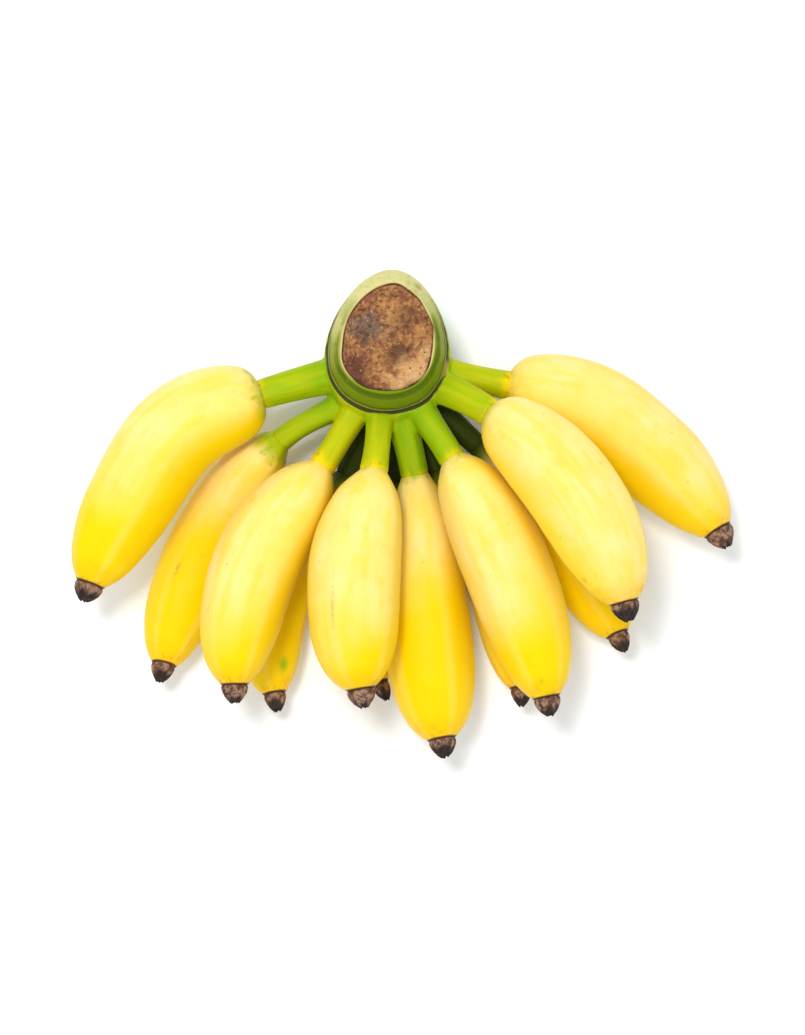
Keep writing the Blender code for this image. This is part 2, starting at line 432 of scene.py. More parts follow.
# The height of a living skin: tiny pores on a finely uneven surface.
skin_grain, given, gives = shader_group("skin_grain", {"Vector": None, "Size": 0.0006}, ["Height"])
tree = skin_grain
scale = figure(tree, "DIVIDE", 1.0, given["Size"])
pores = add(tree, "TexVoronoi", {"Vector": given["Vector"], "Scale": scale, "Randomness": 1.0})
coarser = times(tree, scale, 0.35)
uneven = add(tree, "TexNoise", {"Vector": given["Vector"], "Scale": coarser, "Detail": 4.0})
pore = spread(tree, pores.outputs["Distance"], 0.0, 0.45, -0.35, 0.0)
tree.links.new(figure(tree, "ADD", uneven.outputs["Fac"], pore), gives["Height"])

# Where the green of the stalk gives way to yellow peel, the rusty flecks that sit there, and how the
# green drifts along its fibres.
ripening, given, gives = shader_group(
    "ripening", {"Vector": None, "Past Green": 0.0, "Lime": 0.5}, ["Green", "Flecks", "Lime"]
)
tree = ripening
edge = lay(tree, fibre_streaks, vector=given["Vector"], width=3.5 * MM, length=14 * MM, start=0.2, end=0.8)
shifted = figure(tree, "ADD", given["Past Green"], times(tree, edge["Mask"], -3.5 * MM))
tree.links.new(spread(tree, shifted, 2.5 * MM, -5.0 * MM), gives["Green"])
near = spread(tree, figure(tree, "ABSOLUTE", given["Past Green"]), 4 * MM, 0.5 * MM)
fleck = lay(tree, cloudy_patches, vector=given["Vector"], size=2.2 * MM, start=0.56, end=0.70, detail=3.0)
tree.links.new(times(tree, near, fleck["Mask"]), gives["Flecks"])
drift = lay(tree, fibre_streaks, vector=given["Vector"], width=3 * MM, length=20 * MM, start=0.3, end=0.7)
lime = figure(tree, "ADD", given["Lime"], between(tree, drift["Mask"], -0.18, 0.18))
tree.links.new(lime, gives["Lime"])

PALE_YELLOW = (0.85, 0.68, 0.24, 1.0)
FULL_YELLOW = (0.88, 0.59, 0.001, 1.0)
WARM_YELLOW = (0.85, 0.43, 0.002, 1.0)
STALK_GREEN = (0.225, 0.385, 0.002, 1.0)
STALK_LIME = (0.48, 0.48, 0.003, 1.0)
SHADE_GREEN = (0.030, 0.045, 0.003, 1.0)
SPOT_GREEN = (0.30, 0.42, 0.01, 1.0)
RUST = (0.42, 0.16, 0.02, 1.0)
SCUFF = (0.36, 0.20, 0.06, 1.0)
TIP_EDGE = (0.10, 0.045, 0.02, 1.0)
SKIN_SHINE = 0.07

# The peel: pale yellow, partly its own tone and partly a painted highlight, gives way to full yellow in
# clouds and bands, with warmer patches and fibres.
peel, tree, shader = new_material("yellow_peel")
skin = read(tree, "skin", "Vector")
clouds = lay(tree, cloudy_patches, vector=skin, size=15 * MM, start=0.30, end=0.70, detail=3.0)
pale = times(tree, read(tree, "pale"), between(tree, clouds["Mask"], 0.70, 1.0))
bands = lay(tree, fibre_streaks, vector=skin, width=5 * MM, length=34 * MM, start=0.30, end=0.62)
pale = times(tree, pale, between(tree, bands["Mask"], 0.62, 1.0))
tone = over(tree, pale, FULL_YELLOW, PALE_YELLOW)
warm = lay(tree, cloudy_patches, vector=skin, size=8 * MM, start=0.50, end=0.80, detail=4.0)
tone = over(tree, warm["Mask"], tone, WARM_YELLOW, 0.22)
grain = lay(tree, fibre_streaks, vector=skin, width=0.7 * MM, length=9 * MM, start=0.35, end=0.75)
tone = over(tree, grain["Mask"], tone, WARM_YELLOW, 0.07)
tone = over(tree, read(tree, "ridge"), tone, PALE_YELLOW, 0.17)
# The green of the stalk ends in a ragged border, and painted shade darkens the lower fingers towards
# the crown.
ripe = lay(tree, ripening, vector=skin, past_green=read(tree, "past_green"), lime=read(tree, "lime"))
tone = over(tree, ripe["Green"], tone, over(tree, ripe["Lime"], STALK_GREEN, STALK_LIME))
tone = over(tree, ripe["Flecks"], tone, RUST, 0.55)
tone = over(tree, read(tree, "shade"), tone, SHADE_GREEN)
specks = lay(tree, small_specks, vector=skin, spacing=5 * MM, size=0.12, share=0.22)
tone = over(tree, specks["Mask"], tone, SCUFF, 0.30)
# Round the dried tip the peel is warmer, with rusty streaks and a dark line.
from_tip = read(tree, "from_tip")
warm_tip = spread(tree, from_tip, 10 * MM, 1.5 * MM)
warm_tip = times(tree, warm_tip, between(tree, warm["Mask"], 0.35, 1.0))
tone = over(tree, warm_tip, tone, WARM_YELLOW)
tip_streaks = lay(tree, fibre_streaks, vector=skin, width=2.2 * MM, length=7 * MM, start=0.52, end=0.72)
near_tip = spread(tree, from_tip, 5 * MM, 0.6 * MM)
tip_streaks = times(tree, near_tip, tip_streaks["Mask"])
tone = over(tree, tip_streaks, tone, RUST, 0.4)
tone = over(tree, spread(tree, from_tip, 0.9 * MM, 0.3 * MM), tone, TIP_EDGE)
# Green spots and brown scuffs, where the marks below put them.
tone = over(tree, read(tree, "green_mark"), tone, SPOT_GREEN)
scuffs = lay(tree, cloudy_patches, vector=skin, size=1.5 * MM, start=0.35, end=0.60, detail=4.0)
scuffed = times(tree, read(tree, "brown_mark"), scuffs["Mask"])
tone = over(tree, scuffed, tone, SCUFF)
rough = between(tree, warm["Mask"], 0.34, 0.44)
rough = figure(tree, "ADD", rough, times(tree, grain["Mask"], 0.05))
height = lay(tree, skin_grain, vector=skin, size=0.8 * MM)["Height"]
height = figure(tree, "ADD", height, times(tree, grain["Mask"], 0.5))
set_inputs(tree, shader, {
    "Base Color": tone, "Roughness": rough, "Specular IOR Level": SKIN_SHINE,
    "Sheen Weight": 0.03, "Sheen Roughness": 0.35,
    "Subsurface Weight": 0.08, "Subsurface Radius": (2.4 * MM, 1.4 * MM, 0.3 * MM),
    "Subsurface Scale": 1.0, "Normal": relief(tree, height, strength=0.25, distance=0.06 * MM),
})

# Marks seen on the peel: finger, share of its length, turn from straight up in degrees, length and
# width in millimetres, strength.
GREEN_MARKS = (
    ("upper_finger_1", 0.026, -6, 4.0, 3.0, 0.75), ("upper_finger_1", 0.082, 13, 2.5, 2.0, 0.45),
    ("upper_finger_1", 0.024, 57, 4.5, 7.0, 0.70), ("upper_finger_4", 0.114, 26, 5.0, 5.0, 0.30),
    ("upper_finger_4", 0.261, 20, 5.0, 3.0, 0.30), ("upper_finger_6", 0.939, 6, 3.5, 5.0, 0.60),
    ("upper_finger_7", 0.862, 65, 4.0, 4.0, 0.60), ("upper_finger_7", 0.472, -51, 2.5, 2.0, 0.50),
    ("lower_finger_1", 0.895, -31, 9.0, 8.0, 1.00),
)
BROWN_MARKS = (
    ("upper_finger_1", 0.60, 75, 8.0, 1.6, 0.80), ("upper_finger_1", 0.80, 39, 6.0, 1.4, 0.60),
    ("upper_finger_1", 0.004, -59, 2.5, 4.0, 0.80), ("upper_finger_2", 0.65, 22, 13.0, 1.5, 0.90),
    ("upper_finger_2", 0.91, -50, 7.0, 1.5, 0.85), ("upper_finger_4", 0.63, 26, 28.0, 1.2, 0.55),
    ("upper_finger_7", 0.50, 9, 7.0, 1.2, 0.50), ("upper_finger_3", 0.72, 48, 4.0, 1.5, 0.60),
)


def marked(marks, name, past_neck, turns, half_width):
    """How strongly each point of a fruit is covered by its marks."""
    cover = np.zeros(past_neck.shape)
    for owner, share, turn, long_mm, wide_mm, strength in marks:
        if owner != name:
            continue
        off_long = (past_neck - share * past_neck.max()) / (long_mm * MM / 2)
        swing = (turns - math.radians(turn) + math.pi) % math.tau - math.pi
        off_wide = swing * half_width / (wide_mm * MM / 2)
        cover = np.maximum(cover, strength * np.exp(-2 * (off_long**2 + off_wide**2)))
    return cover


# How yellow-green each stalk is, from fresh green at 0 to lime at 1.
STALK_LIMES = {
    "upper_finger_1": 0.40, "upper_finger_2": 0.55, "upper_finger_3": 0.95, "upper_finger_4": 0.68,
    "upper_finger_5": 0.12, "upper_finger_6": 0.22, "upper_finger_7": 0.55, "upper_finger_8": 0.80,
}

for number, (name, finger) in enumerate(FINGERS.items()):
    line = centreline_of(finger)
    half_width = finger.width * MM / 2
    # The rings stand closer together at both ends.
    step = np.linspace(0, 1, FRUIT_RINGS)
    even_share = 0.5 * step + 0.25 * (1 - np.cos(math.pi * step))
    share = even_share**finger.lean
    places = 1 + (line.end - 1) * share
    points, along, across, up = line.at(places)
    lengths = line.lengths(places)
    radius = smooth_through(FULLNESS, even_share) * half_width
    # The first ring is drawn back into the end of the stalk.
    points = np.vstack((points[:1] - along[:1] * SUNK_START, points))
    across, up = (np.vstack((side[:1], side)) for side in (across, up))
    lengths = np.concatenate(([-SUNK_START], lengths))
    radius = np.concatenate(([radius[0] * 0.9], radius))
    share = np.concatenate(([0.0], share))
    turns = full_turn(FRUIT_SIDES)
    # The ridges of the stalk give way to the deeper ones of the belly.
    grown = np.clip(lengths / STALK_FORM_ENDS, 0, 1)
    belly_depth = RIDGE_DEPTH * (0.55 + 0.45 * np.sin(math.pi * share))
    depth = STALK_RIDGE_DEPTH * (1 - grown) + belly_depth * grown
    dip = ridge_dip(turns, finger.first_ridge)
    reach = radius[:, None] * (1 - depth[:, None] * dip[None, :])
    side_way = outward_from(across, up, turns)
    surface = points[:, None, :] + reach[:, :, None] * side_way
    slow = noise_over(surface, LUMP_SIZE, number)
    lumps = slow * LUMP_HEIGHT + noise_over(surface, DENT_SIZE, number + 20) * DENT_HEIGHT
    fade = np.clip(np.minimum(lengths, lengths[-1] - lengths) / SMOOTH_END, 0, 1)
    reach += (lumps.reshape(reach.shape) - LUMP_HEIGHT * 0.5) * fade[:, None]
    surface = points[:, None, :] + reach[:, :, None] * side_way
    # Where the fruit lies on the table its underside is pressed flat.
    surface[:, :, 2] = (surface[:, :, 2] + np.sqrt(surface[:, :, 2] ** 2 + PRESSED_FLAT**2)) / 2
    fruit = skin_from_rings(name + "_fruit", surface)
    past_neck = np.broadcast_to(lengths[:, None], reach.shape)
    pattern_start = number * PATTERN_STEP
    skin_place = np.stack((reach * np.cos(turns), reach * np.sin(turns), past_neck + pattern_start), axis=-1)
    skin_ends = ((0, 0, pattern_start), (0, 0, lengths[-1] + pattern_start))
    note_rings(fruit.data, "skin", skin_place, skin_ends)
    green_end = finger.green_end * MM
    note_rings(fruit.data, "past_green", past_neck - green_end, (-green_end, FAR_AWAY))
    note_rings(fruit.data, "from_tip", lengths[-1] - past_neck, (FAR_AWAY, 0))
    crest = np.clip(1 - dip * 3.2, 0, 1)[None, :] * np.clip(0.25 + share, 0, 1)[:, None]
    note_rings(fruit.data, "ridge", crest)
    # The pale part, the peel's paler tone with a painted highlight on it, reaches furthest along the side
    # turned to the lamp, and is lost on the far side.
    from_highlight_side = turns - math.radians(finger.palest_turn)
    pale_edge = finger.pale_share + 0.10 * np.cos(from_highlight_side)[None, :] + 0.12 * slow.reshape(reach.shape)
    pale = np.clip((pale_edge - share[:, None]) / PALE_BLUR + 0.5, 0, 1)
    pale = pale * pale * (3 - 2 * pale) * np.clip(0.25 + 0.95 * np.cos(from_highlight_side), 0, 1)[None, :]
    note_rings(fruit.data, "pale", pale)
    note(fruit.data, "lime", np.full(reach.size + 2, STALK_LIMES.get(name, 0.3)))
    # Painted shade on the lower fingers near their necks, under the upper ones.
    shade = np.clip(1 - past_neck / SHADE_ENDS, 0, 1) * name.startswith("lower")
    note_rings(fruit.data, "shade", shade)
    for kind, marks in (("green_mark", GREEN_MARKS), ("brown_mark", BROWN_MARKS)):
        note_rings(fruit.data, kind, marked(marks, name, past_neck, turns, half_width))
    fruit.data.materials.append(peel)
    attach(fruit, "root")
    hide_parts(name)


# The dried tips are what is left of each flower: a short stub of shrunken, folded, dark brown tissue,
# grown on the end of the fruit.

TIP_LENGTH = 7.4 * MM
# How thick a stub is along its length, from inside the fruit at -0.12 to its rim at 1.
TIP_FORM = (
    (-0.12, 0.80), (0.0, 0.93), (0.12, 1.0), (0.3, 0.97),
    (0.5, 0.86), (0.7, 0.69), (0.86, 0.50), (1.0, 0.30),
)
# The share of each stub that is still brown, before it turns black.
TIP_BROWN_SHARE = {
    "upper_finger_1": 0.34, "upper_finger_2": 0.36, "upper_finger_3": 0.62, "upper_finger_4": 0.66,
    "upper_finger_5": 0.30, "upper_finger_6": 0.56, "upper_finger_7": 0.16, "upper_finger_8": 0.78,
}
TIP_RINGS, TIP_SIDES = 44, 84
TIP_HOLLOW_RINGS = 14
CRUMPLE_SIZE, CRUMPLE_HEIGHT = 1.7 * MM, 0.22 * MM
TIP_CLEAR_OF_TABLE = 0.1 * MM
HOLLOW_DEPTH, FOLD_DEPTH, RAGGED_DEPTH = 0.14, 0.07, 0.14
TIP_BROWN = (0.105, 0.048, 0.028, 1.0)
TIP_TAN = (0.33, 0.19, 0.12, 1.0)
TIP_BLACK = (0.016, 0.010, 0.009, 1.0)

dried_flower, tree, shader = new_material("dried_tip")
skin = read(tree, "skin", "Vector")
patches = lay(tree, cloudy_patches, vector=skin, size=2.6 * MM, start=0.40, end=0.62, detail=4.0)
tone = over(tree, patches["Mask"], TIP_BROWN, TIP_TAN)
crumbs = lay(tree, cloudy_patches, vector=skin, size=1.1 * MM, start=0.50, end=0.66, detail=4.0)
tone = over(tree, crumbs["Mask"], tone, TIP_BLACK, 0.7)
tone = over(tree, read(tree, "hollow"), tone, TIP_BLACK)
height = figure(tree, "ADD", patches["Mask"], lay(tree, skin_grain, vector=skin, size=0.5 * MM)["Height"])
set_inputs(tree, shader, {
    "Base Color": tone, "Roughness": between(tree, crumbs["Mask"], 0.72, 0.92),
    "Specular IOR Level": 0.2, "Normal": relief(tree, height, strength=0.6, distance=0.2 * MM),
})


def unit_circle(turns):
    """Level points round a circle of radius 1, to take noise from."""
    return np.stack((np.cos(turns), np.sin(turns), np.zeros(len(turns))), axis=1)


for number, (name, finger) in enumerate(FINGERS.items()):
    line = centreline_of(finger)
    # Each stub is a hair wider than the end of its fruit.
    base_radius = 1.01 * FULLNESS[-1][1] * finger.width * MM / 2
    end, along, across, up = line.at([line.end])
    out = np.linspace(TIP_FORM[0][0], 1.0, TIP_RINGS)
    turns = full_turn(TIP_SIDES)
    radius = smooth_through(TIP_FORM, out) * base_radius
    # Past the rim the stub turns in and forms a ragged hollow.
    inward = np.linspace(0, 1, TIP_HOLLOW_RINGS + 1)[1:]
    out = np.concatenate((out, 1.0 - HOLLOW_DEPTH * np.sin(inward * math.pi / 2)))
    radius = np.concatenate((radius, radius[-1] * (1 - 0.93 * inward)))
    # Six to eight uneven folds run along it, its rim is ragged, and all of it is crumpled.
    circle = unit_circle(turns)
    lag = noise_over(circle, 1.3, number + 40)
    fold = np.cos((6 + number % 3) * turns + 2.2 * lag[None, :] + 0.8 * out[:, None])
    pinch = np.clip(out + 0.12, 0, 1)
    reach = radius[:, None] * (1 - pinch[:, None] * (0.04 + FOLD_DEPTH * fold))
    ragged = noise_over(circle, 0.45, number + 60)
    far = out[:, None] * TIP_LENGTH
    far = far * (0.97 + RAGGED_DEPTH * ragged[None, :] * np.clip(out, 0, 1)[:, None] ** 2)
    side_way = outward_from(across, up, turns)
    surface = end + far[:, :, None] * along + reach[:, :, None] * side_way
    crumple = noise_over(surface, CRUMPLE_SIZE, number).reshape(reach.shape) * CRUMPLE_HEIGHT
    crumple *= np.clip(out + 0.1, 0, 1)[:, None]
    surface += crumple[:, :, None] * side_way
    surface[:, :, 2] = np.maximum(surface[:, :, 2], TIP_CLEAR_OF_TABLE)
    stub = skin_from_rings(name.replace("finger", "tip") + "_stub", surface)
    skin_place = np.stack((reach * np.cos(turns), reach * np.sin(turns), far + number), axis=-1)
    note_rings(stub.data, "skin", skin_place, np.zeros((2, 3)))
    # The end, the hollow and a thin ring at the foot are the darkest.
    brown_share = TIP_BROWN_SHARE.get(name, 0.4)
    dark = np.clip((out[:, None] - brown_share - 0.30 * ragged[None, :]) / 0.25, 0, 1) * 0.92
    dark = np.maximum(dark, 0.8 * np.clip(1 - np.abs(out - 0.01) / 0.05, 0, 1)[:, None])
    dark[TIP_RINGS:] = 1
    note_rings(stub.data, "hollow", dark, (0, 1))
    stub.data.materials.append(dried_flower)
    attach(stub, "root")
    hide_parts(name.replace("finger", "tip"))


# The crown is the green cushion that the fingers grew from, with its twelve stalks. It is one grown
# body, so the stalks run into it without a seam.

STALK_ROOT_RADIUS = 8.6 * MM
STALK_SWELL = 0.25 * MM
STALK_RINGS, STALK_SIDES = 60, 40
CUSHION_RINGS, CUSHION_SIDES = 60, 96
CUSHION_TOP = 51.4 * MM
CROWN_GRAIN = 0.7 * MM
NEAREST_SAMPLES = 8
FOOT_SIDES = 180
# Height, half width, front reach and back reach of the crown, in millimetres.
CROWN_SECTIONS = (
    (0.0, 8.0, 10.0, 7.0),
    (3.0, 13.0, 15.0, 12.0),
    (11.0, 18.5, 21.0, 19.0),
    (24.0, 22.3, 25.5, 26.0),
    (36.0, 24.3, 29.0, 29.6),
    (42.0, 24.8, 30.5, 31.0),
    (47.0, 24.6, 29.5, 31.2),
    (51.0, 24.2, 27.0, 31.0),
    (52.5, 23.5, 25.6, 30.5),
    (54.0, 24.1, 26.2, 31.0),
    (57.0, 23.2, 25.0, 30.3),
    (60.5, 21.6, 22.5, 28.6),
    (63.2, 20.2, 20.4, 26.9),
    (64.5, 19.0, 19.0, 25.8),
)
EGG_POINT, EGG_LEAN = 0.19, 0.07
SCAR_Z = 52.5 * MM
SCAR_BROWN = (0.060, 0.052, 0.020, 1.0)
LIT_BACK_GREEN = (0.58, 0.54, 0.22, 1.0)


def egg(half_width, front, back, turns):
    """Points on level egg outlines, narrower at the back, where they also lean a little to the right."""
    middle, half_depth = (back - front)[:, None] / 2, (back + front)[:, None] / 2
    x = half_width[:, None] * np.cos(turns) * (1 - EGG_POINT * np.sin(turns))
    x = x + EGG_LEAN * half_depth * ((1 + np.sin(turns)) / 2) ** 3
    y = middle + half_depth * np.sin(turns)
    return x, y


def crown_sizes(heights):
    """Half width, front and back reach of the crown at these heights, in metres."""
    table = np.array(CROWN_SECTIONS)
    return [smooth_through(table[:, (0, column)], heights / MM) * MM for column in (1, 2, 3)]


def crown_rings(heights, sides):
    """The crown's outline at each of these heights, as rings of points."""
    x, y = egg(*crown_sizes(heights), full_turn(sides))
    return np.stack((x, y, np.broadcast_to(heights[:, None], x.shape)), axis=-1)


cushion_heights = np.linspace(0, CUSHION_TOP, CUSHION_RINGS)
parts = [skin_from_rings("cushion", crown_rings(cushion_heights, CUSHION_SIDES))]
stalk_samples = []
for number, (name, finger) in enumerate(FINGERS.items()):
    line = centreline_of(finger)
    # A stalk is wide at its root, slim at its waist and widens again to the neck of the fruit.
    places = np.linspace(0, 1, STALK_RINGS)
    points, along, across, up = line.at(places)
    neck_radius = FULLNESS[0][1] * finger.width * MM / 2
    radius = (
        STALK_ROOT_RADIUS * (1 - places) ** 3
        + finger.waist * MM * 3 * places * (1 - places)
        + neck_radius * places**3
    )
    turns = full_turn(STALK_SIDES)
    dip = ridge_dip(turns, finger.first_ridge)
    reach = (radius[:, None] + STALK_SWELL) * (1 - STALK_RIDGE_DEPTH * dip[None, :])
    surface = points[:, None, :] + reach[:, :, None] * outward_from(across, up, turns)
    parts.append(skin_from_rings(name + "_stalk", surface))
    for sample in zip(points, along, across, up, line.lengths(places)):
        stalk_samples.append((number, name, *sample))

# The cushion and the stalks are merged into one skin, and their joins are softened.
crown_form = bmesh.new()
for part in parts:
    crown_form.from_mesh(part.data)
    bpy.data.objects.remove(part)
crown_mesh = bpy.data.meshes.new("crown_and_stalks")
crown_form.to_mesh(crown_mesh)
crown_form.free()
crown = new_object("crown_and_stalks", crown_mesh)
join = crown.modifiers.new("grow_together", "REMESH")
join.mode = "VOXEL"
join.voxel_size = CROWN_GRAIN
soften = crown.modifiers.new("soften", "SMOOTH")
soften.factor = 0.5
soften.iterations = 4
bpy.context.view_layer.update()
grown = bpy.data.meshes.new_from_object(crown.evaluated_get(bpy.context.evaluated_depsgraph_get()))
crown.modifiers.clear()
crown.data = grown
crown.data.shade_smooth()

# Each point of the skin takes its notes from the stalks nearest to it.
count = len(grown.vertices)
vertices = np.zeros(count * 3, np.float32)
grown.vertices.foreach_get("co", vertices)
vertices = vertices.reshape(-1, 3).astype(float)
nearest_stalks = kdtree.KDTree(len(stalk_samples))
for i, (_, _, point, *_) in enumerate(stalk_samples):
    nearest_stalks.insert(point, i)
nearest_stalks.balance()
skin_places = np.zeros((count, 3))
past_green, limes, shades = np.zeros(count), np.zeros(count), np.zeros(count)
for i, vertex in enumerate(vertices):
    found = nearest_stalks.find_n(vertex, NEAREST_SAMPLES)
    number, name, point, along, across, up, past_neck = stalk_samples[found[0][1]]
    away = vertex - point
    past_neck = past_neck + away @ along
    skin_places[i] = (away @ up, away @ across, past_neck + number * PATTERN_STEP)
    past_green[i] = past_neck - FINGERS[name].green_end * MM
    # Between two stalks their greens blend.
    weights = np.array([1 / (1 * MM + distance) ** 3 for _, _, distance in found])
    owners = [stalk_samples[index][1] for _, index, _ in found]
    limes[i] = weights @ [STALK_LIMES.get(owner, 0.1) for owner in owners] / weights.sum()
    shades[i] = weights @ [owner.startswith("lower") for owner in owners] / weights.sum()
note(grown, "skin", skin_places)
note(grown, "past_green", past_green)
note(grown, "lime", limes)
x, y, z = vertices.T
# Painted shade: the stalks of the lower fingers are darkened where they lie under the upper ones.
low = np.clip((56 * MM - z) / (8 * MM), 0, 1)
far_front = np.clip((-14 * MM - y) / (8 * MM), 0, 1)
note(grown, "shade", shades * low * far_front)
# Painted light: the back of the cushion, toward the lamp, is as pale as the back of the stump.
far_back = np.clip((y - 2 * MM) / (18 * MM), 0, 1)
high = np.clip((z - 22 * MM) / (28 * MM), 0, 1)
note(grown, "back", far_back * high)
# The scar of the old leaf darkens the top of the cushion round the stump's foot, but not its back.
foot_x, foot_y, _ = crown_rings(np.array([SCAR_Z]), FOOT_SIDES)[0].T
foot_angles = np.arctan2(foot_y, foot_x)
foot_reach = np.interp(np.arctan2(y, x), foot_angles, np.hypot(foot_x, foot_y), period=math.tau)
beyond = np.hypot(x, y) - foot_reach
torn = noise_over(vertices, 2.5 * MM, 9) * 0.35 * MM
scar_cover = np.clip((0.75 * MM + torn - beyond) / (0.6 * MM), 0, 1) * (z > 49 * MM)
note(grown, "scar", scar_cover * np.clip((20 * MM - y) / (10 * MM), 0, 1))

stalk_skin, tree, shader = new_material("green_stalk")
skin = read(tree, "skin", "Vector")
out_of_cushion = spread(tree, read(tree, "past_green"), -34 * MM, -12 * MM, 0.10, 1.0)
lime = times(tree, read(tree, "lime"), out_of_cushion)
ripe = lay(tree, ripening, vector=skin, past_green=read(tree, "past_green"), lime=lime)
green = over(tree, ripe["Lime"], STALK_GREEN, STALK_LIME)
# Painted light: the back of the cushion, toward the lamp, is paler.
green = over(tree, read(tree, "back"), green, LIT_BACK_GREEN)
tone = over(tree, ripe["Green"], FULL_YELLOW, green)
tone = over(tree, ripe["Flecks"], tone, RUST, 0.55)
# Painted shade on the lower stalks, under the upper ones.
tone = over(tree, read(tree, "shade"), tone, SHADE_GREEN)
tone = over(tree, read(tree, "scar"), tone, SCAR_BROWN)
grain = lay(tree, fibre_streaks, vector=skin, width=0.8 * MM, length=10 * MM, start=0.3, end=0.7)
height = figure(tree, "ADD", grain["Mask"], lay(tree, skin_grain, vector=skin, size=0.7 * MM)["Height"])
set_inputs(tree, shader, {
    "Base Color": tone, "Roughness": between(tree, grain["Mask"], 0.42, 0.55),
    "Specular IOR Level": SKIN_SHINE,
    "Normal": relief(tree, height, strength=0.25, distance=0.08 * MM),
})
crown.data.materials.append(stalk_skin)
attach(crown, "root")
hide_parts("crown")

# The stump stands on the cushion above a thin dark scar, where a leaf of the flower stem once sat. It
# is fibrous green tissue, sliced level when the hand was cut from its stem.

STUMP_SIDES, STUMP_RINGS, RIM_RINGS = 320, 110, 11
STUMP_FOOT, STUMP_RIM = 48.6 * MM, 64.5 * MM
RECESS_FLOOR = 61.8 * MM
RIM_DROP = 0.55 * MM
STUMP_DENT_SIZE, STUMP_DENT_HEIGHT = 11 * MM, 0.35 * MM
# The outline of the cut, seen from above: x and y in millimetres, all the way round.
CUT_OUTLINE = (
    (18.1, 8.1), (16.2, 13.9), (13.0, 18.0), (9.0, 21.6), (4.1, 24.3), (-2.4, 23.3), (-7.1, 20.6),
    (-11.4, 16.5), (-14.5, 11.9), (-16.5, 6.1), (-17.3, 0.3), (-17.4, -5.4), (-16.0, -9.3), (-13.4, -12.5),
    (-9.6, -15.6), (-4.5, -17.1), (1.3, -17.5), (7.1, -16.8), (12.7, -13.7), (16.0, -9.4), (17.6, -3.6),
    (18.2, 2.2),
)
CUT_MIDDLE = np.array((0.6, 2.6)) * MM
LIP_Z, SECOND_SCAR_Z, FOLD_Z = 54.5 * MM, 56.1 * MM, 62.9 * MM
FLAKE = (23.5 * MM, -9 * MM, 52 * MM)
NOTCH = (13.2 * MM, 24.4 * MM, 60.5 * MM)
# How far the side of the stump stands in, in millimetres.
STUMP_INSET, LEDGE_IN, FOLD_IN, NOTCH_IN, TEAR_OUT = 0.35, 0.9, 0.5, 1.1, 0.25


def cut_reach(turns):
    """How far the outline of the cut lies from its middle in each direction, in metres."""
    marks = np.array(CUT_OUTLINE) * MM - CUT_MIDDLE
    angles = np.unwrap(np.arctan2(marks[:, 1], marks[:, 0]))
    angles = np.concatenate((angles - math.tau, angles, angles + math.tau))
    return smooth_through(np.column_stack((angles, np.tile(np.hypot(*marks.T), 3))), turns)


def bell(values, middle, width):
    """1 where a value is at the middle, falling off to 0 at about twice the width to either side."""
    return np.exp(-(((values - middle) / width) ** 2))


turns = full_turn(STUMP_SIDES)
heights = np.linspace(STUMP_FOOT, STUMP_RIM, STUMP_RINGS)
rings = crown_rings(heights, STUMP_SIDES)
around = unit_circle(turns)
# A few slow dents, and a torn, uneven scar. Above the scar the stump stands a little further in.
dents = noise_over(rings, STUMP_DENT_SIZE, 3).reshape(rings.shape[:2]) * STUMP_DENT_HEIGHT
tear = noise_over(around, 0.16, 5)[None, :] * bell(heights, SCAR_Z, 1.1 * MM)[:, None]
front_side = np.clip(0.75 - np.sin(turns), 0, 1)[None, :]
fold_dip = bell(heights, FOLD_Z, 1.0 * MM)[:, None] * front_side
ledge = np.interp(heights / MM, (52.4, 53.4, 56.5, 61.0), (0.0, 1.0, 1.0, 0.0))[:, None] * front_side
# At the back right a small piece has been torn out below the rim.
notch_turn = bell(turns, math.atan2(NOTCH[1], NOTCH[0]), 0.07)[None, :]
notch = notch_turn * np.interp(heights / MM, (56.0, 60.5), (0.0, 1.0))[:, None]
inset = STUMP_INSET + LEDGE_IN * ledge + FOLD_IN * fold_dip + NOTCH_IN * notch - TEAR_OUT * tear
rings = rings + (dents - inset * MM)[:, :, None] * around[None, :, :]
# The rim rolls over to the cut, and a wall goes down under the dried face.
rim_edge = rings[-1, :, :2]
from_middle = rim_edge - CUT_MIDDLE
stretch_to_cut = cut_reach(np.arctan2(from_middle[:, 1], from_middle[:, 0])) / np.hypot(*from_middle.T)
to_cut = CUT_MIDDLE + from_middle * stretch_to_cut[:, None] - rim_edge
rolled = np.linspace(0, 1, RIM_RINGS + 1)[1:]
over_rim = []
for roll in rolled * math.pi / 2:
    ring = rings[-1].copy()
    ring[:, :2] += to_cut * math.sin(roll)
    ring[:, 2] = STUMP_RIM - RIM_DROP * (1 - math.cos(roll))
    over_rim.append(ring)
wall = over_rim[-1].copy()
wall[:, 2] = RECESS_FLOOR
rings = np.concatenate((rings, over_rim, (wall,)))
stump = skin_from_rings("crown_stump", rings)
note_rings(stump.data, "skin", rings, rings[[0, -1]].mean(axis=1))
rim = np.concatenate((np.zeros(STUMP_RINGS), rolled, (1.0,)))
note_rings(stump.data, "rim", np.repeat(rim[:, None], STUMP_SIDES, axis=1), (0, 1))

